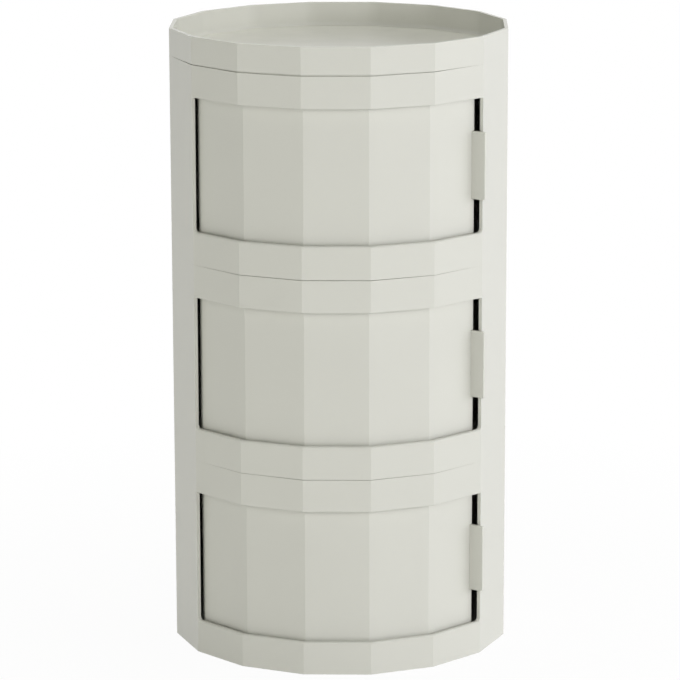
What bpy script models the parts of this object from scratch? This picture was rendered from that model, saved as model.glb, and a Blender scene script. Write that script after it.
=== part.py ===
"""Side cabinet of three stacked sixteen-sided drums with turning doors, under a lift-off tray.

Metres, +Z up. The origin is the middle of the underside, and the openings face -Y.
An azimuth is measured from -Y, and grows towards +X.
"""

import math

import bmesh
import bpy
from mathutils import Vector

# Overall
SIDES = 16
FRONT_FLATS = 5
TIERS = ("lower", "middle", "upper")
ACROSS_CORNERS = 0.320
TIER_PITCH = 0.1865
WALL = 0.0035

# Opening in each drum
SILL_BAND = 0.031
HEAD_BAND = 0.0305
SILL_CORNER_RADIUS = 0.0035

# Lip inside the foot of each drum, which carries the shelf
LIP_WIDTH = 0.0073
LIP_THICKNESS = 0.003

# Shelf, with the door track round its edge
TRACK_PLATE = 0.0027
SHELF_RISE = 0.008
SHELF_PLATE = 0.003
SPIGOT_WALL = 0.0025
SPIGOT_DEPTH = 0.006

# Guide ring let into the top of each drum
RING_PLATE = 0.0022
RING_LIP_WALL = 0.0025
RING_LIP_DEPTH = 0.010

# Door, and the clips on its two edges
DOOR_THICKNESS = 0.003
DOOR_END_TRIM = 0.0019
DOOR_OVERLAP = 0.004
CLIP_LENGTH = 0.020
CLIP_JAW = 0.0012
CLIP_JAW_HEIGHT = 0.006
CLIP_SOLE = 0.0015

# Pull plate, set into a notch at the right end of the door
PULL_THICKNESS = 0.003
PULL_HEIGHT = 0.063
PULL_REACH = 0.0053
PULL_CORNER_RADIUS = 0.0015

# Tray
TRAY_HEIGHT = 0.0255
TRAY_PLATE = 0.0027
TRAY_FILLET = 0.001

# Clearances
SEAT_GAP = 0.0003
DOOR_RUNNING_GAP = 0.0014
TRACK_GAP = 0.0005
SHOE_HEAD_GAP = 0.003

# Facets of the round pieces, and of the small arcs
STEPS_PER_FLAT = 3
ARC_STEPS = 4
MERGE = 0.000001

# Angles of the prism. A corner lies at each side of the opening.
STEP = 2 * math.pi / SIDES
HALF_STEP = STEP / 2
HALF_OPENING = FRONT_FLATS * HALF_STEP
END_FLAT = HALF_OPENING - HALF_STEP
QUARTER_TURN = math.pi / 2
UP = Vector((0, 0, 1))
AXIS_FOOT = Vector((0, 0, 0))


def corner(flat):
    """The radius to the corners of a polygon whose flats lie this far from the axis."""
    return flat / math.cos(HALF_STEP)


# Distances of the flats from the axis, from the outside in
OUTER_FLAT = ACROSS_CORNERS / 2 * math.cos(HALF_STEP)
REBATE_FLAT = OUTER_FLAT - WALL / 2
INNER_FLAT = OUTER_FLAT - WALL
LIP_FLAT = INNER_FLAT - LIP_WIDTH
DOOR_OUTER_FLAT = (INNER_FLAT - DOOR_RUNNING_GAP) * math.cos(HALF_STEP)
DOOR_INNER_FLAT = DOOR_OUTER_FLAT - DOOR_THICKNESS
GROOVE_OUTER_FLAT = DOOR_OUTER_FLAT + SEAT_GAP
GROOVE_INNER_FLAT = DOOR_INNER_FLAT - SEAT_GAP
CLIP_OUTER_FLAT = GROOVE_OUTER_FLAT + CLIP_JAW
CLIP_INNER_FLAT = GROOVE_INNER_FLAT - CLIP_JAW

# Radii of the round guides
TRACK_RADIUS = CLIP_INNER_FLAT - TRACK_GAP
RING_BORE = TRACK_RADIUS - RING_LIP_WALL
SPIGOT_OUTER = RING_BORE - SEAT_GAP
SPIGOT_INNER = SPIGOT_OUTER - SPIGOT_WALL
ROUND_LIMIT = (TRACK_RADIUS + DOOR_INNER_FLAT) / 2

# Heights above the foot of a drum
HEAD = TIER_PITCH - HEAD_BAND
OPENING_MIDDLE = (SILL_BAND + HEAD) / 2
DRUM_TOP = TIER_PITCH - SEAT_GAP
RING_BOTTOM = DRUM_TOP - RING_PLATE
SHELF_BOTTOM = LIP_THICKNESS + SEAT_GAP
TRACK_TOP = SHELF_BOTTOM + TRACK_PLATE
SHELF_TOP = TRACK_TOP + SHELF_RISE
DOOR_BOTTOM = TRACK_TOP + SEAT_GAP + CLIP_SOLE + SEAT_GAP
DOOR_TOP = RING_BOTTOM - SHOE_HEAD_GAP - CLIP_SOLE - SEAT_GAP


def heading(azimuth):
    """The level direction at an azimuth."""
    return Vector((math.sin(azimuth), -math.cos(azimuth), 0))


def azimuth_of(point):
    return math.atan2(point.x, -point.y)


def vertices_in(geometry):
    return [item for item in geometry if isinstance(item, bmesh.types.BMVert)]


def edges_in(geometry):
    return [item for item in geometry if isinstance(item, bmesh.types.BMEdge)]


def finish_mesh(bm, name, smooth=False):
    """Turns a bmesh into a mesh whose faces point out."""
    bm.normal_update()
    bmesh.ops.recalc_face_normals(bm, faces=bm.faces)
    mesh = bpy.data.meshes.new(name)
    bm.to_mesh(mesh)
    bm.free()
    if smooth:
        mesh.shade_smooth()
        mesh.set_sharp_from_angle(angle=HALF_STEP)
    return mesh


def turned(profile, steps):
    """Turns a profile of (radius, height) points about Z, starting on a corner of the prism.

    A profile that starts on the axis also ends there. Any other is a loop.
    """
    bm = bmesh.new()
    side = heading(HALF_OPENING)
    points = [bm.verts.new(side * radius + UP * height) for radius, height in profile]
    pairs = list(zip(points, points[1:]))
    if profile[0][0] > 0:
        pairs.append((points[-1], points[0]))
    edges = [bm.edges.new(pair) for pair in pairs]
    bmesh.ops.spin(
        bm, geom=points + edges, cent=AXIS_FOOT, axis=UP, angle=2 * math.pi, steps=steps, use_merge=True
    )
    bmesh.ops.remove_doubles(bm, verts=bm.verts, dist=MERGE)
    return bm


def turned_in_drum(profile):
    """Turns a round piece, then brings the rows near the wall in onto the drum's flats."""
    bm = turned(profile, SIDES * STEPS_PER_FLAT)
    for vert in bm.verts:
        if vert.co.xy.length > ROUND_LIMIT:
            from_flat = azimuth_of(vert.co) - END_FLAT
            off_middle = from_flat - STEP * round(from_flat / STEP)
            vert.co.xy *= math.cos(HALF_STEP) / math.cos(off_middle)
    return bm


def round_edges(bm, edges, radius):
    bmesh.ops.bevel(
        bm, geom=edges, offset=radius, affect="EDGES", segments=ARC_STEPS, profile=0.5, material=-1
    )


def drum_mesh():
    """A sixteen-sided shell with its front opening, shelf lip and ring rebate."""
    outer = corner(OUTER_FLAT)
    inner = corner(INNER_FLAT)
    rebate = corner(REBATE_FLAT)
    lip = corner(LIP_FLAT)
    ledge = RING_BOTTOM - SEAT_GAP
    profile = [
        (outer, DRUM_TOP),
        (outer, HEAD),
        (outer, SILL_BAND),
        (outer, 0),
        (lip, 0),
        (lip, LIP_THICKNESS),
        (inner, LIP_THICKNESS),
        (inner, SILL_BAND),
        (inner, HEAD),
        (inner, ledge),
        (rebate, ledge),
        (rebate, DRUM_TOP),
    ]
    bm = turned(profile, SIDES)
    cut_opening(bm)
    join_rows_beside(bm)
    round_edges(bm, sill_corners(bm), SILL_CORNER_RADIUS)
    return finish_mesh(bm, "drum")


def cut_opening(bm):
    """Takes the front flats out between sill and head, and closes the wall round the hole."""
    front = []
    for face in bm.faces:
        middle = face.calc_center_median()
        if SILL_BAND < middle.z < HEAD and abs(azimuth_of(middle)) < HALF_OPENING:
            front.append(face)
    bmesh.ops.delete(bm, geom=front, context="FACES")
    rim = [edge for edge in bm.edges if edge.is_boundary]
    bmesh.ops.bridge_loops(bm, edges=rim)


def join_rows_beside(bm):
    """Makes each flat outside the opening one face from foot to top."""
    spare = []
    for edge in bm.edges:
        first, second = (vert.co for vert in edge.verts)
        at_sill = max(abs(first.z - SILL_BAND), abs(second.z - SILL_BAND)) < MERGE
        at_head = max(abs(first.z - HEAD), abs(second.z - HEAD)) < MERGE
        beside = abs(azimuth_of(first + second)) > HALF_OPENING + MERGE
        if (at_sill or at_head) and beside:
            spare.append(edge)
    bmesh.ops.dissolve_edges(bm, edges=spare, use_verts=False, use_face_split=False)
    in_line = [vert for vert in bm.verts if len(vert.link_edges) == 2]
    bmesh.ops.dissolve_verts(bm, verts=in_line)


def sill_corners(bm):
    """The two short edges through the wall where the sill meets the jambs."""
    found = []
    for edge in bm.edges:
        first, second = (vert.co for vert in edge.verts)
        at_sill = max(abs(first.z - SILL_BAND), abs(second.z - SILL_BAND)) < MERGE
        at_jamb = abs(abs(azimuth_of(first)) - HALF_OPENING) < HALF_STEP
        through_wall = abs(azimuth_of(first) - azimuth_of(second)) < HALF_STEP
        if at_sill and at_jamb and through_wall:
            found.append(edge)
    return found


def shelf_mesh(name, spigot):
    """A raised round floor inside the door track, on a sixteen-sided plate that seats on the lip.

    The spigot is the end of the ring that hangs from the shelf, as (radius, height) points.
    """
    plate_edge = corner(INNER_FLAT - SEAT_GAP)
    floor_under = SHELF_TOP - SHELF_PLATE
    profile = [
        (0, SHELF_TOP),
        (TRACK_RADIUS, SHELF_TOP),
        (TRACK_RADIUS, TRACK_TOP),
        (plate_edge, TRACK_TOP),
        (plate_edge, SHELF_BOTTOM),
        *spigot,
        (SPIGOT_INNER, floor_under),
        (0, floor_under),
    ]
    return finish_mesh(turned_in_drum(profile), name, smooth=True)


def base_shelf_mesh():
    """The lowest shelf, with nothing below the drum."""
    return shelf_mesh("base_shelf", [(SPIGOT_INNER, SHELF_BOTTOM)])


def stacking_shelf_mesh():
    """A shelf whose spigot enters the guide ring of the drum below."""
    spigot = [
        (SPIGOT_OUTER, SHELF_BOTTOM),
        (SPIGOT_OUTER, -SPIGOT_DEPTH),
        (SPIGOT_INNER, -SPIGOT_DEPTH),
    ]
    return shelf_mesh("stacking_shelf", spigot)


def guide_ring_mesh():
    """A flat ring let into the drum's rebate, with a lip that the door's top edge runs behind."""
    ring_edge = corner(REBATE_FLAT - SEAT_GAP)
    lip_end = RING_BOTTOM - RING_LIP_DEPTH
    profile = [
        (ring_edge, DRUM_TOP),
        (ring_edge, RING_BOTTOM),
        (TRACK_RADIUS, RING_BOTTOM),
        (TRACK_RADIUS, lip_end),
        (RING_BORE, lip_end),
        (RING_BORE, DRUM_TOP),
    ]
    return finish_mesh(turned_in_drum(profile), "guide_ring", smooth=True)


def tray_mesh():
    """A shallow tray whose rim carries on the drum's flats, with a spigot that centres it."""
    outer = corner(OUTER_FLAT)
    inner = corner(INNER_FLAT)
    bends = [QUARTER_TURN * step / ARC_STEPS for step in range(ARC_STEPS + 1)]
    fillet = [
        (inner - TRAY_FILLET * (1 - math.sin(bend)), TRAY_PLATE + TRAY_FILLET * (1 - math.cos(bend)))
        for bend in bends
    ]
    profile = [
        (0, TRAY_PLATE),
        *fillet,
        (inner, TRAY_HEIGHT),
        (outer, TRAY_HEIGHT),
        (outer, 0),
        (SPIGOT_OUTER, 0),
        (SPIGOT_OUTER, -SPIGOT_DEPTH),
        (SPIGOT_INNER, -SPIGOT_DEPTH),
        (SPIGOT_INNER, 0),
        (0, 0),
    ]
    return finish_mesh(turned_in_drum(profile), "tray", smooth=True)


def door_mesh():
    """The front flats in one panel, with a part of the next flat that stays behind the left jamb."""
    bm = bmesh.new()
    side = heading(-HALF_OPENING - STEP)
    ends = [
        bm.verts.new(side * corner(flat) + UP * DOOR_BOTTOM) for flat in (DOOR_INNER_FLAT, DOOR_OUTER_FLAT)
    ]
    edge = bm.edges.new(ends)
    bmesh.ops.spin(
        bm, geom=[*ends, edge], cent=AXIS_FOOT, axis=UP, angle=2 * HALF_OPENING + STEP, steps=FRONT_FLATS + 1
    )
    raised = bmesh.ops.extrude_face_region(bm, geom=bm.faces[:])["geom"]
    bmesh.ops.translate(bm, verts=vertices_in(raised), vec=UP * (DOOR_TOP - DOOR_BOTTOM))
    left_corner = heading(-HALF_OPENING) * corner(DOOR_OUTER_FLAT)
    behind_jamb = heading(-HALF_OPENING - HALF_STEP - QUARTER_TURN)
    trim(bm, left_corner + behind_jamb * DOOR_OVERLAP, behind_jamb)
    towards_jamb = heading(HALF_OPENING + QUARTER_TURN)
    trim(bm, -towards_jamb * DOOR_END_TRIM, towards_jamb)
    return finish_mesh(bm, "door")


def trim(bm, point, outward):
    """Cuts off what lies beyond a plane, and closes the cut."""
    cut = bmesh.ops.bisect_plane(
        bm, geom=[*bm.verts, *bm.edges, *bm.faces], plane_co=point, plane_no=outward, clear_outer=True
    )
    bmesh.ops.contextual_create(bm, geom=edges_in(cut["geom_cut"]))


def door_end_block(radii, insets, height):
    """A block square to the right jamb, between two radii and two distances in from the jamb."""
    outward = heading(HALF_OPENING)
    from_jamb = heading(HALF_OPENING - QUARTER_TURN)
    bm = bmesh.new()
    bmesh.ops.create_cube(bm, size=1)
    for vert in bm.verts:
        radius = radii[vert.co.x > 0]
        inset = insets[vert.co.y > 0]
        level = OPENING_MIDDLE + height * vert.co.z
        vert.co = outward * radius + from_jamb * inset + UP * level
    return bm


def pull_mesh():
    """The plate that is pushed to turn the door. Its root fills the notch in the door's end."""
    root = corner(DOOR_INNER_FLAT)
    tip = ACROSS_CORNERS / 2 + PULL_REACH
    bm = door_end_block((root, tip), (DOOR_END_TRIM, DOOR_END_TRIM + PULL_THICKNESS), PULL_HEIGHT)
    outward = heading(HALF_OPENING)
    tip_ends = []
    for edge in bm.edges:
        first, second = (vert.co for vert in edge.verts)
        at_tip = min(first.dot(outward), second.dot(outward)) > tip - MERGE
        if at_tip and abs(first.z - second.z) < MERGE:
            tip_ends.append(edge)
    round_edges(bm, tip_ends, PULL_CORNER_RADIUS)
    return finish_mesh(bm, "pull")


def notch_mesh():
    """What is cut from the door's end for the pull, with a seat gap round its root."""
    radii = (DOOR_INNER_FLAT - DOOR_THICKNESS, corner(DOOR_OUTER_FLAT) + DOOR_THICKNESS)
    insets = (-DOOR_END_TRIM, DOOR_END_TRIM + PULL_THICKNESS + SEAT_GAP)
    return finish_mesh(door_end_block(radii, insets, PULL_HEIGHT + 2 * SEAT_GAP), "pull_notch")


def clip_mesh(name, door_edge, beyond):
    """A U-shaped clip on a level edge of the door, made where a flat would face the front.

    Its sole lies beyond the edge, above it for 1 and below it for -1, and its jaws hold the panel.
    """
    groove = door_edge + beyond * SEAT_GAP
    sole = groove + beyond * CLIP_SOLE
    jaw_end = door_edge - beyond * CLIP_JAW_HEIGHT
    section = [
        (CLIP_OUTER_FLAT, sole),
        (CLIP_OUTER_FLAT, jaw_end),
        (GROOVE_OUTER_FLAT, jaw_end),
        (GROOVE_OUTER_FLAT, groove),
        (GROOVE_INNER_FLAT, groove),
        (GROOVE_INNER_FLAT, jaw_end),
        (CLIP_INNER_FLAT, jaw_end),
        (CLIP_INNER_FLAT, sole),
    ]
    bm = bmesh.new()
    start = [bm.verts.new((-CLIP_LENGTH / 2, -flat, height)) for flat, height in section]
    raised = bmesh.ops.extrude_face_region(bm, geom=[bm.faces.new(start)])["geom"]
    bmesh.ops.translate(bm, verts=vertices_in(raised), vec=Vector((CLIP_LENGTH, 0, 0)))
    return finish_mesh(bm, name)


def plastic(name, colour, roughness):
    """A moulded plastic, in linear colour."""
    material = bpy.data.materials.new(name)
    material.use_nodes = True
    shader = material.node_tree.nodes["Principled BSDF"]
    shader.inputs["Base Color"].default_value = (*colour, 1)
    shader.inputs["Roughness"].default_value = roughness
    shader.inputs["Metallic"].default_value = 0
    return material


def place(name, mesh, parent=None, turn=0.0):
    """Puts a mesh on the cabinet's axis, turned about it."""
    thing = bpy.data.objects.new(name, mesh)
    bpy.context.scene.collection.objects.link(thing)
    thing.rotation_euler = (0, 0, turn)
    thing.parent = parent
    return thing


def cut_notch(door, notch):
    """Cuts the pull's seat out of a door with a hidden cutter that rides on it."""
    cutter = place(f"{door.name}_notch", notch, door)
    cutter.hide_render = True
    cutter.display_type = "WIRE"
    cut = door.modifiers.new("pull_notch", "BOOLEAN")
    cut.operation = "DIFFERENCE"
    cut.solver = "EXACT"
    cut.object = cutter


def build():
    for old in list(bpy.data.objects):
        bpy.data.objects.remove(old)

    warm_grey = (0.70, 0.70, 0.64)
    slider_white = (0.80, 0.80, 0.78)
    drum = drum_mesh()
    base_shelf = base_shelf_mesh()
    stacking_shelf = stacking_shelf_mesh()
    ring = guide_ring_mesh()
    door = door_mesh()
    pull = pull_mesh()
    notch = notch_mesh()
    glide = clip_mesh("glide", DOOR_BOTTOM, -1)
    shoe = clip_mesh("guide_shoe", DOOR_TOP, 1)
    tray = tray_mesh()
    for mesh in (drum, tray, door, pull):
        mesh.materials.append(plastic(f"{mesh.name}_satin_grey", warm_grey, 0.45))
    for mesh in (base_shelf, stacking_shelf, ring):
        mesh.materials.append(plastic(f"{mesh.name}_matt_grey", warm_grey, 0.55))
    for mesh in (glide, shoe):
        mesh.materials.append(plastic(f"{mesh.name}_white", slider_white, 0.35))

    for level, tier in enumerate(TIERS):
        module = place(f"{tier}_module", None)
        module.location = UP * (level * TIER_PITCH)
        place(f"{tier}_drum", drum, module)
        place(f"{tier}_shelf", stacking_shelf if level else base_shelf, module)
        place(f"{tier}_guide_ring", ring, module)
        panel = place(f"{tier}_door", door, module)
        cut_notch(panel, notch)
        place(f"{tier}_pull", pull, panel)
        for side, turn in (("left", -END_FLAT), ("right", END_FLAT)):
            place(f"{tier}_{side}_glide", glide, panel, turn)
            place(f"{tier}_{side}_guide_shoe", shoe, panel, turn)

    place("top_tray", tray).location = UP * (len(TIERS) * TIER_PITCH)


build()
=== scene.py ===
"""Looks of the faceted side cabinet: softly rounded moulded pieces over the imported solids.

Metres, +Z up, with the openings facing -Y. An azimuth is measured from -Y, and grows towards +X.
"""

import math

import bmesh
import bpy
from mathutils import Matrix, Vector


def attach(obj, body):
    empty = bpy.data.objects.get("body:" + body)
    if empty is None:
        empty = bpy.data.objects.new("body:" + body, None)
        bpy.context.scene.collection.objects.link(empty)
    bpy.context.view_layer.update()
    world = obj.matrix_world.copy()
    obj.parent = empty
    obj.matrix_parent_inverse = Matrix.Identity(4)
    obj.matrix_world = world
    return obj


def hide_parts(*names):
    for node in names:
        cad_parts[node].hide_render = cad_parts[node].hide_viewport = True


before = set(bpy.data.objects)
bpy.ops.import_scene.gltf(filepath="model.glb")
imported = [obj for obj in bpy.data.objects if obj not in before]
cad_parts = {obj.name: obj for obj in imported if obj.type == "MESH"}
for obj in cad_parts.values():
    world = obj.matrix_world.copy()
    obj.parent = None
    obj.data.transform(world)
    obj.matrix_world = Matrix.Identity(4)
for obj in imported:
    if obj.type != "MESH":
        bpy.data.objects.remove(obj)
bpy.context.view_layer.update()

# Sizes shared with the solids
SIDES = 16
FRONT_FLATS = 5
TIERS = ("lower", "middle", "upper")
ACROSS_CORNERS = 0.320
TIER_PITCH = 0.1865
WALL = 0.0035
SILL_BAND = 0.031
HEAD_BAND = 0.0305
SILL_CORNER_RADIUS = 0.0035
LIP_WIDTH = 0.0073
LIP_THICKNESS = 0.003
TRACK_PLATE = 0.0027
SHELF_RISE = 0.008
SHELF_PLATE = 0.003
SPIGOT_WALL = 0.0025
SPIGOT_DEPTH = 0.006
RING_PLATE = 0.0022
RING_LIP_WALL = 0.0025
RING_LIP_DEPTH = 0.010
DOOR_THICKNESS = 0.003
DOOR_END_TRIM = 0.0019
DOOR_OVERLAP = 0.004
CLIP_LENGTH = 0.020
CLIP_JAW = 0.0012
CLIP_JAW_HEIGHT = 0.006
CLIP_SOLE = 0.0015
PULL_THICKNESS = 0.003
PULL_HEIGHT = 0.063
PULL_REACH = 0.0053
PULL_CORNER_RADIUS = 0.0015
TRAY_HEIGHT = 0.0255
TRAY_PLATE = 0.0027
SEAT_GAP = 0.0003
DOOR_RUNNING_GAP = 0.0014
TRACK_GAP = 0.0005
SHOE_HEAD_GAP = 0.003

# Rounding of the moulded pieces
EDGE_ROUND = 0.0003
SILL_ROUND = 0.0022
TRAY_FILLET = 0.004
EDGE_SEGMENTS = 4
ARC_STEPS = 8
ROUND_STEPS_PER_FLAT = 9

# Limits that the modelling steps go by, and how strongly large faces lead the shading
SHARP_ANGLE = math.radians(15)
CREASE_ANGLE = math.radians(35)
LEVEL_ANGLE = math.radians(0.5)
BESIDE_JAMB = math.radians(0.05)
MERGE = 0.000001
LARGE_FACES_LEAD = 100

# Each drum meets the piece above it closely, but its top edge dips over the opening: the depth of
# the dip, then the azimuth of its middle and how far it spreads to each side, in degrees
SEAM_GAP = 0.00002
TOP_DIPS = {
    "lower": (0.00045, 0, 56),
    "middle": (0.0006, -5, 56),
    "upper": (0.0013, -15, 65),
}

# Angles of the prism. A corner lies at each side of the opening.
STEP = 2 * math.pi / SIDES
HALF_STEP = STEP / 2
HALF_OPENING = FRONT_FLATS * HALF_STEP
END_FLAT = HALF_OPENING - HALF_STEP
QUARTER_TURN = math.pi / 2
UP = Vector((0, 0, 1))
AXIS_FOOT = Vector((0, 0, 0))


def corner(flat):
    """The radius to the corners of a polygon whose flats lie this far from the axis."""
    return flat / math.cos(HALF_STEP)


# Distances of the flats from the axis, from the outside in
OUTER_FLAT = ACROSS_CORNERS / 2 * math.cos(HALF_STEP)
REBATE_FLAT = OUTER_FLAT - WALL / 2
INNER_FLAT = OUTER_FLAT - WALL
LIP_FLAT = INNER_FLAT - LIP_WIDTH
DOOR_OUTER_FLAT = (INNER_FLAT - DOOR_RUNNING_GAP) * math.cos(HALF_STEP)
DOOR_INNER_FLAT = DOOR_OUTER_FLAT - DOOR_THICKNESS
GROOVE_OUTER_FLAT = DOOR_OUTER_FLAT + SEAT_GAP
GROOVE_INNER_FLAT = DOOR_INNER_FLAT - SEAT_GAP
CLIP_OUTER_FLAT = GROOVE_OUTER_FLAT + CLIP_JAW
CLIP_INNER_FLAT = GROOVE_INNER_FLAT - CLIP_JAW

# Radii of the round guides
TRACK_RADIUS = CLIP_INNER_FLAT - TRACK_GAP
RING_BORE = TRACK_RADIUS - RING_LIP_WALL
SPIGOT_OUTER = RING_BORE - SEAT_GAP
SPIGOT_INNER = SPIGOT_OUTER - SPIGOT_WALL
ROUND_LIMIT = (TRACK_RADIUS + DOOR_INNER_FLAT) / 2

# Heights above the foot of a drum
HEAD = TIER_PITCH - HEAD_BAND
OPENING_MIDDLE = (SILL_BAND + HEAD) / 2
DRUM_TOP = TIER_PITCH - SEAT_GAP
SEAM = TIER_PITCH - SEAM_GAP
RING_BOTTOM = DRUM_TOP - RING_PLATE
SHELF_BOTTOM = LIP_THICKNESS + SEAT_GAP
TRACK_TOP = SHELF_BOTTOM + TRACK_PLATE
SHELF_TOP = TRACK_TOP + SHELF_RISE
DOOR_BOTTOM = TRACK_TOP + SEAT_GAP + CLIP_SOLE + SEAT_GAP
DOOR_TOP = RING_BOTTOM - SHOE_HEAD_GAP - CLIP_SOLE - SEAT_GAP

# Plastics: colours, then roughness and strength of the grain
WARM_GREY = (0.70, 0.70, 0.645)
WHITE = (0.80, 0.80, 0.78)
SATIN = (0.24, 0.03)
MATT = (0.55, 0.2)
SMOOTH = (0.35, 0.06)
SPECULAR_LEVEL = 0.35

# Detail in the plastics: features to the metre, shades of the colour and changes in roughness
CLOUD_SCALE = 9
SHEEN_SCALE = 35
WEAR_AND_HIGHLIGHT_SCALE = 60
GRAIN_SCALE = 1400
GRAIN_HEIGHT = 0.0002
NOISE_LOW = 0.3
NOISE_HIGH = 0.7
CLOUD_SHADE = 0.985
# The rounded edges are lightened in patches, partly as wear and partly as a painted highlight: the
# patches' scale is set above, then the lighter shade and its greatest share
EDGE_WEAR_AND_HIGHLIGHT_SHADE = 1.06
EDGE_WEAR_AND_HIGHLIGHT_SHARE = 0.7
SHEEN_CHANGE = 0.02
EDGE_POLISH = 0.08

# Camera, from the corners of the rim, the seams and the foot in the photograph
CAMERA_LENS_MM = 185.13
CAMERA_SENSOR_MM = 36.0
CAMERA_DISTANCE = 3.2457
CAMERA_HEIGHT = 1.0229
CAMERA_AZIMUTH = math.radians(1.196)
CAMERA_TILT = math.radians(12.859)
CAMERA_ROLL = math.radians(-0.152)

# Floor: half its size, its paper, and the shares of plain white over it near the cabinet and far off
FLOOR_REACH = 8
PAPER_COLOUR = (0.96, 0.96, 0.96)
PAPER_ROUGHNESS = 0.9
COVER_NEAR = 0.95
COVER_FAR = 1.0
FADE_START = 0.25
FADE_END = 0.8

# Lights: each softbox as name, azimuth and elevation in degrees, width, height, watts and colour
STUDIO_AIM = Vector((0, 0, 0.30))
SOFTBOX_DISTANCE = 4.0
AMBIENT = 0.03
WARM = (1.0, 1.0, 0.94)
COOL = (0.97, 0.97, 1.0)
SOFTBOXES = (
    ("low_right", 20, 2, 2.2, 0.8, 13.5, COOL),
    ("key_right", 60, 12, 2.2, 0.8, 51.5, COOL),
    ("side_right", 90, 10, 2.2, 1.4, 40.5, COOL),
    ("front_low", 0, 14, 2.2, 0.8, 12.0, WARM),
    ("front_high", 0, 30, 2.2, 1.4, 23.5, WARM),
    ("left_fill", -60, 4, 2.2, 0.8, 29.0, WARM),
    ("back_fill", 190, 3, 2.2, 0.8, 24.0, WARM),
    ("back_right", 150, 70, 2.2, 1.4, 25.0, WARM),
    ("overhead", 180, 85, 2.2, 2.2, 47.0, WARM),
)


def heading(azimuth):
    """The level direction at an azimuth."""
    return Vector((math.sin(azimuth), -math.cos(azimuth), 0))


def azimuth_of(point):
    return math.atan2(point.x, -point.y)


def off_flat(point):
    """How far round from the middle of its flat a point lies."""
    from_end_flat = azimuth_of(point) - END_FLAT
    return from_end_flat - STEP * round(from_end_flat / STEP)


def flat_distance(point):
    """The distance from the axis to the flat, parallel to one of the prism's, that a point is on."""
    return point.xy.length * math.cos(off_flat(point))


def nearest_corner(point):
    """The azimuth of the corner of the prism that lies nearest to a point."""
    return HALF_OPENING + STEP * round((azimuth_of(point) - HALF_OPENING) / STEP)


def all_geometry(bm):
    return [*bm.verts, *bm.edges, *bm.faces]


def vertices_in(geometry):
    return [item for item in geometry if isinstance(item, bmesh.types.BMVert)]


def edges_in(geometry):
    return [item for item in geometry if isinstance(item, bmesh.types.BMEdge)]


# Modelling steps that the moulded pieces share


def turned(profile, steps):
    """Turns a profile of (radius, height) points about Z, starting on a corner of the prism.

    A profile that starts on the axis also ends there. Any other is a loop.
    """
    bm = bmesh.new()
    side = heading(HALF_OPENING)
    points = [bm.verts.new(side * radius + UP * height) for radius, height in profile]
    pairs = list(zip(points, points[1:]))
    if profile[0][0] > 0:
        pairs.append((points[-1], points[0]))
    edges = [bm.edges.new(pair) for pair in pairs]
    bmesh.ops.spin(
        bm, geom=points + edges, cent=AXIS_FOOT, axis=UP, angle=2 * math.pi, steps=steps, use_merge=True
    )
    bmesh.ops.remove_doubles(bm, verts=bm.verts, dist=MERGE)
    bmesh.ops.recalc_face_normals(bm, faces=bm.faces)
    return bm


def turned_in_drum(profile):
    """Turns a round piece, then brings the rows near the wall in onto the drum's flats."""
    bm = turned(profile, SIDES * ROUND_STEPS_PER_FLAT)
    for vert in bm.verts:
        if vert.co.xy.length > ROUND_LIMIT:
            vert.co.xy *= math.cos(HALF_STEP) / math.cos(off_flat(vert.co))
    bmesh.ops.dissolve_limit(bm, angle_limit=LEVEL_ANGLE, verts=bm.verts, edges=bm.edges)
    return bm


def round_edges(bm, edges, radius, segments):
    return bmesh.ops.bevel(
        bm, geom=edges, offset=radius, affect="EDGES", segments=segments, profile=0.5, material=-1
    )


def lies_at(edge, height):
    return all(abs(vert.co.z - height) < MERGE for vert in edge.verts)


def soften(bm, radius, mating=(), kept=lambda edge: False):
    """Rounds the outward edges as a mould would, and marks them for the finish, which polishes them and
    lightens them in patches as wear and a painted highlight.

    Edges at the mating heights, where pieces meet, stay as they are, and so do those to be kept.
    """
    bm.normal_update()
    bmesh.ops.recalc_face_normals(bm, faces=bm.faces)
    outward = []
    for edge in bm.edges:
        crisp = kept(edge) or any(lies_at(edge, height) for height in mating)
        if edge.is_convex and edge.calc_face_angle() > SHARP_ANGLE and not crisp:
            outward.append(edge)
    rounded = set(round_edges(bm, outward, radius, EDGE_SEGMENTS)["faces"])
    crest = bm.verts.layers.float.new("edge_crest")
    for vert in bm.verts:
        vert[crest] = 1.0 if rounded.issuperset(vert.link_faces) else 0.0
    for edge in bm.edges:
        edge.smooth = edge.calc_face_angle() < (SHARP_ANGLE if kept(edge) else CREASE_ANGLE)


def moulded_piece(name, bm, height, finish, body):
    """Puts a softened bmesh at its height in the cabinet, in place of the solid of that name."""
    bmesh.ops.translate(bm, verts=bm.verts, vec=UP * height)
    mesh = bpy.data.meshes.new(f"{name}_moulding")
    bm.to_mesh(mesh)
    bm.free()
    mesh.materials.append(finish)
    mesh.shade_smooth()
    piece = bpy.data.objects.new(f"{name}_moulding", mesh)
    bpy.context.scene.collection.objects.link(piece)
    shading = piece.modifiers.new("flat_panels", "WEIGHTED_NORMAL")
    shading.weight = LARGE_FACES_LEAD
    shading.keep_sharp = True
    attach(piece, body)
    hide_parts(name)


# Drum


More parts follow.
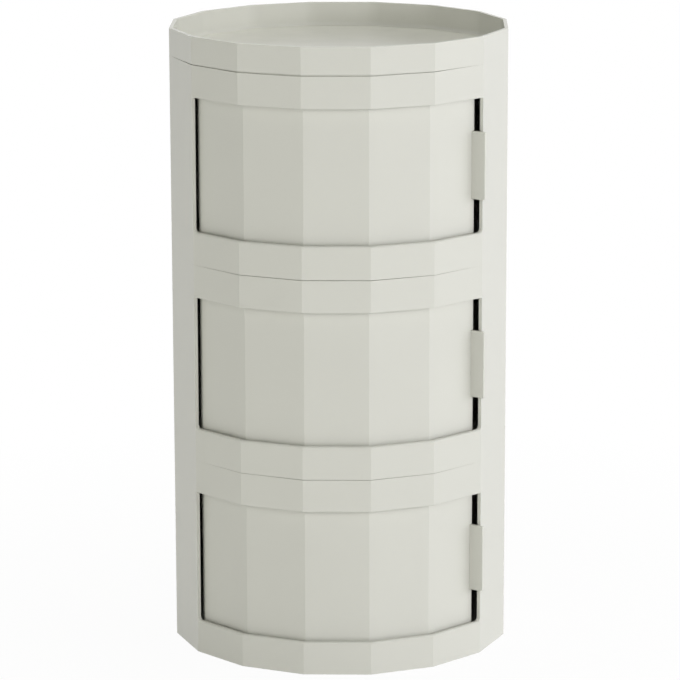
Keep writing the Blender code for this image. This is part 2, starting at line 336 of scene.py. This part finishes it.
def drum(top_dip):
    """A sixteen-sided shell with its front opening, shelf lip and ring rebate."""
    outer = corner(OUTER_FLAT)
    inner = corner(INNER_FLAT)
    rebate = corner(REBATE_FLAT)
    lip = corner(LIP_FLAT)
    ledge = RING_BOTTOM - SEAT_GAP
    profile = [
        (outer, SEAM),
        (outer, HEAD),
        (outer, SILL_BAND),
        (outer, 0),
        (lip, 0),
        (lip, LIP_THICKNESS),
        (inner, LIP_THICKNESS),
        (inner, SILL_BAND),
        (inner, HEAD),
        (inner, ledge),
        (rebate, ledge),
        (rebate, SEAM),
    ]
    bm = turned(profile, SIDES)
    cut_opening(bm)
    join_rows_beside(bm)
    round_edges(bm, sill_corners(bm), SILL_CORNER_RADIUS, ARC_STEPS)
    round_sill(bm)
    soften(bm, EDGE_ROUND, mating=(0, SEAM), kept=shapes_sill)
    dip_top(bm, *top_dip)
    return bm


def cut_opening(bm):
    """Takes the front flats out between sill and head, and closes the wall round the hole."""
    front = []
    for face in bm.faces:
        middle = face.calc_center_median()
        if SILL_BAND < middle.z < HEAD and abs(azimuth_of(middle)) < HALF_OPENING:
            front.append(face)
    bmesh.ops.delete(bm, geom=front, context="FACES")
    rim = [edge for edge in bm.edges if edge.is_boundary]
    bmesh.ops.bridge_loops(bm, edges=rim)


def join_rows_beside(bm):
    """Makes each flat outside the opening one face from foot to top."""
    spare = []
    for edge in bm.edges:
        first, second = (vert.co for vert in edge.verts)
        beside = abs(azimuth_of(first + second)) > HALF_OPENING + MERGE
        if beside and (lies_at(edge, SILL_BAND) or lies_at(edge, HEAD)):
            spare.append(edge)
    bmesh.ops.dissolve_edges(bm, edges=spare, use_verts=False, use_face_split=False)
    in_line = [vert for vert in bm.verts if len(vert.link_edges) == 2]
    bmesh.ops.dissolve_verts(bm, verts=in_line)


def dip_top(bm, depth, middle, spread):
    """Lowers the drum's top edge over the opening, so that the seam above it shows there."""
    for vert in bm.verts:
        from_middle = abs(math.degrees(azimuth_of(vert.co)) - middle)
        if vert.co.z > SEAM - MERGE and from_middle < spread:
            vert.co.z -= depth * math.cos(QUARTER_TURN * from_middle / spread)


def sill_corners(bm):
    """The two short edges through the wall where the sill meets the jambs."""
    found = []
    for edge in bm.edges:
        first, second = (azimuth_of(vert.co) for vert in edge.verts)
        at_jamb = abs(abs(first) - HALF_OPENING) < HALF_STEP
        through_wall = abs(first - second) < HALF_STEP
        if lies_at(edge, SILL_BAND) and at_jamb and through_wall:
            found.append(edge)
    return found


def on_sill(point):
    """Whether a point lies on the sill or on the fillets that join it to the jambs."""
    in_front = abs(azimuth_of(point)) < HALF_OPENING + MERGE
    in_wall = flat_distance(point) > INNER_FLAT - MERGE
    return in_front and in_wall and abs(point.z - SILL_BAND) < SILL_CORNER_RADIUS + MERGE


def round_sill(bm):
    """Rounds the sill's outer edge. The rounding runs out up the fillets beside it."""
    through_wall = []
    for edge in bm.edges:
        first, second = (vert.co for vert in edge.verts)
        if on_sill(first) and abs(flat_distance(first) - flat_distance(second)) > WALL / 2:
            through_wall.append(edge)
    bmesh.ops.subdivide_edges(bm, edges=through_wall, cuts=ARC_STEPS)
    for vert in bm.verts:
        depth = OUTER_FLAT - flat_distance(vert.co)
        step = round(depth / WALL * (ARC_STEPS + 1))
        if on_sill(vert.co) and step <= ARC_STEPS:
            bend = QUARTER_TURN * step / ARC_STEPS
            up_fillet = (vert.co.z - SILL_BAND) / SILL_CORNER_RADIUS
            share = (1 - up_fillet) ** 2
            inward = share * (SILL_ROUND * (1 - math.cos(bend)) - depth)
            drop = share * SILL_ROUND * (1 - math.sin(bend))
            vert.co -= heading(nearest_corner(vert.co)) * inward / math.cos(HALF_STEP) + UP * drop


def shapes_sill(edge):
    """Whether an edge runs along the sill and its fillets, or is the prism's corner below their end."""
    first, second = (vert.co for vert in edge.verts)
    depths = [OUTER_FLAT - flat_distance(point) for point in (first, second)]
    along_sill = on_sill(first) and on_sill(second) and abs(depths[0] - depths[1]) < MERGE
    off_jamb = max(abs(abs(azimuth_of(point)) - HALF_OPENING) for point in (first, second))
    on_corner = off_jamb < BESIDE_JAMB and max(depths) < MERGE
    return along_sill or (on_corner and max(first.z, second.z) < OPENING_MIDDLE)


# Shelf, guide ring and tray


def shelf(stacked):
    """A round floor inside the door track, on a plate that seats on the drum's lip.

    A stacked shelf has a spigot that enters the guide ring of the drum below.
    """
    plate_edge = corner(INNER_FLAT - SEAT_GAP)
    floor_under = SHELF_TOP - SHELF_PLATE
    spigot = [(SPIGOT_INNER, SHELF_BOTTOM)]
    if stacked:
        spigot = [
            (SPIGOT_OUTER, SHELF_BOTTOM),
            (SPIGOT_OUTER, -SPIGOT_DEPTH),
            (SPIGOT_INNER, -SPIGOT_DEPTH),
        ]
    profile = [
        (0, SHELF_TOP),
        (TRACK_RADIUS, SHELF_TOP),
        (TRACK_RADIUS, TRACK_TOP),
        (plate_edge, TRACK_TOP),
        (plate_edge, SHELF_BOTTOM),
        *spigot,
        (SPIGOT_INNER, floor_under),
        (0, floor_under),
    ]
    bm = turned_in_drum(profile)
    soften(bm, EDGE_ROUND)
    return bm


def guide_ring():
    """A flat ring in the drum's rebate, with a lip that the door's top edge runs behind."""
    ring_edge = corner(REBATE_FLAT - SEAT_GAP)
    lip_end = RING_BOTTOM - RING_LIP_DEPTH
    profile = [
        (ring_edge, DRUM_TOP),
        (ring_edge, RING_BOTTOM),
        (TRACK_RADIUS, RING_BOTTOM),
        (TRACK_RADIUS, lip_end),
        (RING_BORE, lip_end),
        (RING_BORE, DRUM_TOP),
    ]
    bm = turned_in_drum(profile)
    soften(bm, EDGE_ROUND)
    return bm


def tray():
    """A shallow tray whose rim carries on the drum's flats, with a spigot that centres it."""
    outer = corner(OUTER_FLAT)
    inner = corner(INNER_FLAT)
    bends = [QUARTER_TURN * step / ARC_STEPS for step in range(ARC_STEPS + 1)]
    fillet = [
        (inner - TRAY_FILLET * (1 - math.sin(bend)), TRAY_PLATE + TRAY_FILLET * (1 - math.cos(bend)))
        for bend in bends
    ]
    profile = [
        (0, TRAY_PLATE),
        *fillet,
        (inner, TRAY_HEIGHT),
        (outer, TRAY_HEIGHT),
        (outer, 0),
        (SPIGOT_OUTER, 0),
        (SPIGOT_OUTER, -SPIGOT_DEPTH),
        (SPIGOT_INNER, -SPIGOT_DEPTH),
        (SPIGOT_INNER, 0),
        (0, 0),
    ]
    bm = turned_in_drum(profile)
    soften(bm, EDGE_ROUND, mating=(0,))
    return bm


# Door, pull and clips


def door():
    """The front flats in one panel, with a part of the next flat that stays behind the left jamb."""
    bm = bmesh.new()
    side = heading(-HALF_OPENING - STEP)
    faces = (DOOR_INNER_FLAT, DOOR_OUTER_FLAT)
    ends = [bm.verts.new(side * corner(flat) + UP * DOOR_BOTTOM) for flat in faces]
    edge = bm.edges.new(ends)
    flats = FRONT_FLATS + 1
    bmesh.ops.spin(bm, geom=[*ends, edge], cent=AXIS_FOOT, axis=UP, angle=flats * STEP, steps=flats)
    raised = bmesh.ops.extrude_face_region(bm, geom=bm.faces[:])["geom"]
    bmesh.ops.translate(bm, verts=vertices_in(raised), vec=UP * (DOOR_TOP - DOOR_BOTTOM))
    left_corner = heading(-HALF_OPENING) * corner(DOOR_OUTER_FLAT)
    behind_jamb = heading(-HALF_OPENING - HALF_STEP - QUARTER_TURN)
    trim(bm, left_corner + behind_jamb * DOOR_OVERLAP, behind_jamb)
    towards_jamb = heading(HALF_OPENING + QUARTER_TURN)
    trim(bm, -towards_jamb * DOOR_END_TRIM, towards_jamb)
    cut_pull_seat(bm)
    soften(bm, EDGE_ROUND)
    return bm


def trim(bm, point, outward):
    """Cuts off what lies beyond a plane, and closes the cut."""
    cut = bmesh.ops.bisect_plane(
        bm, geom=all_geometry(bm), plane_co=point, plane_no=outward, clear_outer=True
    )
    bmesh.ops.contextual_create(bm, geom=edges_in(cut["geom_cut"]))


def cut_pull_seat(bm):
    """Cuts the notch that the pull's root fills closely."""
    outward = heading(HALF_OPENING)
    from_jamb = heading(HALF_OPENING - QUARTER_TURN)
    inset = DOOR_END_TRIM + PULL_THICKNESS + SEAM_GAP
    reach = PULL_HEIGHT / 2 + SEAM_GAP
    bmesh.ops.bisect_plane(bm, geom=all_geometry(bm), plane_co=from_jamb * inset, plane_no=from_jamb)
    for height in (OPENING_MIDDLE - reach, OPENING_MIDDLE + reach):
        strip = [face for face in bm.faces if face.calc_center_median().dot(from_jamb) < inset]
        edges = {edge for face in strip for edge in face.edges}
        corners = {vert for face in strip for vert in face.verts}
        bmesh.ops.bisect_plane(
            bm, geom=[*corners, *edges, *strip], plane_co=UP * height, plane_no=UP
        )
    seat = []
    for face in bm.faces:
        middle = face.calc_center_median()
        if middle.dot(from_jamb) < inset - MERGE and abs(middle.z - OPENING_MIDDLE) < reach:
            seat.append(face)
    bmesh.ops.delete(bm, geom=seat, context="FACES")
    along_panel = []
    for edge in bm.edges:
        first, second = (vert.co for vert in edge.verts)
        if edge.is_boundary and abs((first - second).dot(outward)) < DOOR_THICKNESS / 2:
            along_panel.append(edge)
    bmesh.ops.bridge_loops(bm, edges=along_panel)


def pull():
    """The plate that is pushed to turn the door, square to the jamb, with its tip rounded."""
    root = corner(DOOR_INNER_FLAT)
    tip = ACROSS_CORNERS / 2 + PULL_REACH
    outward = heading(HALF_OPENING)
    from_jamb = heading(HALF_OPENING - QUARTER_TURN)
    bm = bmesh.new()
    bmesh.ops.create_cube(bm, size=1)
    axes = Matrix((outward, from_jamb, UP)).transposed().to_4x4()
    middle = outward * (root + tip) / 2 + from_jamb * (DOOR_END_TRIM + PULL_THICKNESS / 2)
    size = Matrix.Diagonal((tip - root, PULL_THICKNESS, PULL_HEIGHT, 1))
    place = Matrix.Translation(middle + UP * OPENING_MIDDLE) @ axes @ size
    bmesh.ops.transform(bm, matrix=place, verts=bm.verts)
    tip_ends = []
    for edge in bm.edges:
        first, second = (vert.co for vert in edge.verts)
        at_tip = min(first.dot(outward), second.dot(outward)) > tip - MERGE
        if at_tip and abs(first.z - second.z) < MERGE:
            tip_ends.append(edge)
    round_edges(bm, tip_ends, PULL_CORNER_RADIUS, ARC_STEPS)
    soften(bm, EDGE_ROUND)
    return bm


def clip(door_edge, beyond, turn):
    """A U-shaped clip on a level edge of the door, on the flat at this azimuth.

    Its sole lies beyond the edge, above it for 1 and below it for -1, and its jaws hold the panel.
    """
    groove = door_edge + beyond * SEAT_GAP
    sole = groove + beyond * CLIP_SOLE
    jaw_end = door_edge - beyond * CLIP_JAW_HEIGHT
    section = [
        (CLIP_OUTER_FLAT, sole),
        (CLIP_OUTER_FLAT, jaw_end),
        (GROOVE_OUTER_FLAT, jaw_end),
        (GROOVE_OUTER_FLAT, groove),
        (GROOVE_INNER_FLAT, groove),
        (GROOVE_INNER_FLAT, jaw_end),
        (CLIP_INNER_FLAT, jaw_end),
        (CLIP_INNER_FLAT, sole),
    ]
    bm = bmesh.new()
    start = [bm.verts.new((-CLIP_LENGTH / 2, -flat, height)) for flat, height in section]
    raised = bmesh.ops.extrude_face_region(bm, geom=[bm.faces.new(start)])["geom"]
    bmesh.ops.translate(bm, verts=vertices_in(raised), vec=Vector((CLIP_LENGTH, 0, 0)))
    bmesh.ops.rotate(bm, verts=bm.verts, cent=AXIS_FOOT, matrix=Matrix.Rotation(turn, 3, "Z"))
    soften(bm, EDGE_ROUND)
    return bm


# Finishes


class NodeSheet:
    """Adds nodes to a material and links them."""

    def __init__(self, material):
        material.use_nodes = True
        self.nodes = material.node_tree.nodes
        self.links = material.node_tree.links
        self.shader = self.nodes["Principled BSDF"]

    def add(self, kind, **settings):
        node = self.nodes.new(kind)
        for name, value in settings.items():
            setattr(node, name, value)
        return node

    def noise(self, place, scale, detail, roughness=0.5):
        """A noise texture on a place in the cabinet, in features to the metre."""
        texture = self.add("ShaderNodeTexNoise")
        texture.inputs["Scale"].default_value = scale
        texture.inputs["Detail"].default_value = detail
        texture.inputs["Roughness"].default_value = roughness
        self.links.new(place, texture.inputs["Vector"])
        return texture.outputs["Fac"]

    def remap(self, value, low, high, start=NOISE_LOW, end=NOISE_HIGH):
        """Spreads a value from start..end over low..high."""
        span = self.add("ShaderNodeMapRange")
        span.inputs["From Min"].default_value = start
        span.inputs["From Max"].default_value = end
        span.inputs["To Min"].default_value = low
        span.inputs["To Max"].default_value = high
        self.links.new(value, span.inputs["Value"])
        return span.outputs["Result"]

    def combine(self, operation, first, second):
        result = self.add("ShaderNodeMath", operation=operation)
        for socket, value in zip(result.inputs, (first, second)):
            if isinstance(value, float):
                socket.default_value = value
            else:
                self.links.new(value, socket)
        return result.outputs["Value"]

    def tint(self, factor, first, second):
        """A colour between two, by a factor. The node's colour sockets are 6, 7 and, going out, 2."""
        mix = self.add("ShaderNodeMix", data_type="RGBA")
        self.links.new(factor, mix.inputs[0])
        for socket, value in ((mix.inputs[6], first), (mix.inputs[7], second)):
            if isinstance(value, tuple):
                socket.default_value = (*value, 1)
            else:
                self.links.new(value, socket)
        return mix.outputs[2]


def moulded_plastic(name, colour, roughness, grain):
    """Moulded plastic with a fine spark-etched grain, faint flow clouds, slightly polished edges, and
    edges lightened in patches as wear and a painted highlight.
    """
    material = bpy.data.materials.new(name)
    sheet = NodeSheet(material)
    place = sheet.add("ShaderNodeTexCoord").outputs["Object"]
    crest = sheet.add("ShaderNodeAttribute", attribute_name="edge_crest").outputs["Fac"]
    sheet.shader.inputs["Specular IOR Level"].default_value = SPECULAR_LEVEL

    clouds = sheet.remap(sheet.noise(place, CLOUD_SCALE, detail=3), 0.0, 1.0)
    darker = tuple(CLOUD_SHADE * channel for channel in colour)
    worn_and_highlit_colour = tuple(EDGE_WEAR_AND_HIGHLIGHT_SHADE * channel for channel in colour)
    body_colour = sheet.tint(clouds, darker, colour)
    # Lighter patches on the rounded edges: partly wear, partly a painted highlight
    wear_and_highlight_noise = sheet.remap(sheet.noise(place, WEAR_AND_HIGHLIGHT_SCALE, detail=4), 0.0, EDGE_WEAR_AND_HIGHLIGHT_SHARE)
    wear_and_highlight_mask = sheet.combine("MULTIPLY", crest, wear_and_highlight_noise)
    sheet.links.new(sheet.tint(wear_and_highlight_mask, body_colour, worn_and_highlit_colour), sheet.shader.inputs["Base Color"])

    patches = sheet.noise(place, SHEEN_SCALE, detail=4)
    sheen = sheet.remap(patches, roughness - SHEEN_CHANGE, roughness + SHEEN_CHANGE)
    polished = sheet.combine("MULTIPLY", crest, EDGE_POLISH)
    sheet.links.new(sheet.combine("SUBTRACT", sheen, polished), sheet.shader.inputs["Roughness"])

    etched = sheet.noise(place, GRAIN_SCALE, detail=2, roughness=0.6)
    bump = sheet.add("ShaderNodeBump")
    bump.inputs["Strength"].default_value = grain
    bump.inputs["Distance"].default_value = GRAIN_HEIGHT
    sheet.links.new(etched, bump.inputs["Height"])
    sheet.links.new(bump.outputs["Normal"], sheet.shader.inputs["Normal"])
    return material


# Studio


def softbox(name, azimuth, elevation, width, height, power, colour):
    """A softbox aimed at the middle of the cabinet."""
    lamp = bpy.data.lights.new(name, "AREA")
    lamp.shape = "RECTANGLE"
    lamp.size = width
    lamp.size_y = height
    lamp.energy = power
    lamp.color = colour
    level = heading(math.radians(azimuth)) * math.cos(math.radians(elevation))
    lift = UP * math.sin(math.radians(elevation))
    stand = bpy.data.objects.new(name, lamp)
    stand.location = STUDIO_AIM + (level + lift) * SOFTBOX_DISTANCE
    stand.rotation_euler = (STUDIO_AIM - stand.location).to_track_quat("-Z", "Y").to_euler()
    stand.visible_glossy = False
    bpy.context.scene.collection.objects.link(stand)


def seen_directly(nodes, links):
    """1 for what the camera, a reflection or a clear piece sees, and 0 for light on the cabinet."""
    path = nodes.new("ShaderNodeLightPath")
    total = path.outputs["Is Camera Ray"]
    for kind in ("Is Glossy Ray", "Is Transmission Ray"):
        both = nodes.new("ShaderNodeMath")
        both.operation = "MAXIMUM"
        links.new(total, both.inputs[0])
        links.new(path.outputs[kind], both.inputs[1])
        total = both.outputs["Value"]
    return total


def studio_world():
    """A surround that is seen as plain white and lights the cabinet softly from all sides."""
    world = bpy.data.worlds.new("studio")
    bpy.context.scene.world = world
    world.use_nodes = True
    nodes = world.node_tree.nodes
    links = world.node_tree.links
    surround = nodes["Background"]
    surround.inputs["Color"].default_value = (*WARM, 1)
    surround.inputs["Strength"].default_value = AMBIENT
    backdrop = nodes.new("ShaderNodeBackground")
    backdrop.inputs["Color"].default_value = (1, 1, 1, 1)
    mix = nodes.new("ShaderNodeMixShader")
    links.new(seen_directly(nodes, links), mix.inputs["Fac"])
    links.new(surround.outputs["Background"], mix.inputs[1])
    links.new(backdrop.outputs["Background"], mix.inputs[2])
    links.new(mix.outputs["Shader"], nodes["World Output"].inputs["Surface"])


def studio_floor():
    """A pale sweep that fades to white away from the cabinet and keeps a faint shadow near it."""
    bm = bmesh.new()
    bmesh.ops.create_grid(bm, x_segments=1, y_segments=1, size=FLOOR_REACH)
    bmesh.ops.translate(bm, verts=bm.verts, vec=-UP * SEAT_GAP)
    mesh = bpy.data.meshes.new("studio_floor")
    bm.to_mesh(mesh)
    bm.free()
    paper = bpy.data.materials.new("studio_paper")
    sheet = NodeSheet(paper)
    sheet.shader.inputs["Base Color"].default_value = (*PAPER_COLOUR, 1)
    sheet.shader.inputs["Roughness"].default_value = PAPER_ROUGHNESS
    place = sheet.add("ShaderNodeTexCoord").outputs["Object"]
    distance = sheet.add("ShaderNodeVectorMath", operation="LENGTH")
    sheet.links.new(place, distance.inputs[0])
    cover = sheet.remap(distance.outputs["Value"], COVER_NEAR, COVER_FAR, FADE_START, FADE_END)
    white = sheet.add("ShaderNodeEmission")
    mix = sheet.add("ShaderNodeMixShader")
    seen = seen_directly(sheet.nodes, sheet.links)
    sheet.links.new(sheet.combine("MULTIPLY", seen, cover), mix.inputs["Fac"])
    sheet.links.new(sheet.shader.outputs["BSDF"], mix.inputs[1])
    sheet.links.new(white.outputs["Emission"], mix.inputs[2])
    sheet.links.new(mix.outputs["Shader"], sheet.nodes["Material Output"].inputs["Surface"])
    mesh.materials.append(paper)
    floor = bpy.data.objects.new("studio_floor", mesh)
    bpy.context.scene.collection.objects.link(floor)


def camera():
    """The photograph's view, a little above the rim and nearly square to the front."""
    lens = bpy.data.cameras.new("photo_camera")
    lens.sensor_width = CAMERA_SENSOR_MM
    lens.lens = CAMERA_LENS_MM
    viewer = bpy.data.objects.new("photo_camera", lens)
    bpy.context.scene.collection.objects.link(viewer)
    place = Matrix.Translation(heading(CAMERA_AZIMUTH) * CAMERA_DISTANCE + UP * CAMERA_HEIGHT)
    turn = Matrix.Rotation(CAMERA_AZIMUTH, 4, "Z")
    tilt = Matrix.Rotation(QUARTER_TURN - CAMERA_TILT, 4, "X")
    roll = Matrix.Rotation(CAMERA_ROLL, 4, "Z")
    viewer.matrix_world = place @ turn @ tilt @ roll
    bpy.context.scene.camera = viewer


def cabinet():
    """Every moulded piece, tier by tier, then the tray."""
    shell = moulded_plastic("satin_shell", WARM_GREY, *SATIN)
    inside = moulded_plastic("matt_inside", WARM_GREY, *MATT)
    slider = moulded_plastic("slider_white", WHITE, *SMOOTH)
    for level, tier in enumerate(TIERS):
        foot = level * TIER_PITCH
        door_set = f"{tier}_door_set"
        moulded_piece(f"{tier}_drum", drum(TOP_DIPS[tier]), foot, shell, "carcass")
        moulded_piece(f"{tier}_shelf", shelf(stacked=level > 0), foot, inside, "carcass")
        moulded_piece(f"{tier}_guide_ring", guide_ring(), foot, inside, "carcass")
        moulded_piece(f"{tier}_door", door(), foot, shell, door_set)
        moulded_piece(f"{tier}_pull", pull(), foot, shell, door_set)
        for side, turn in (("left", -END_FLAT), ("right", END_FLAT)):
            glide = clip(DOOR_BOTTOM, -1, turn)
            shoe = clip(DOOR_TOP, 1, turn)
            moulded_piece(f"{tier}_{side}_glide", glide, foot, slider, door_set)
            moulded_piece(f"{tier}_{side}_guide_shoe", shoe, foot, slider, door_set)
    moulded_piece("top_tray", tray(), len(TIERS) * TIER_PITCH, shell, "tray")


cabinet()
studio_world()
studio_floor()
for box in SOFTBOXES:
    softbox(*box)
camera()
bpy.context.scene.view_settings.view_transform = "Standard"
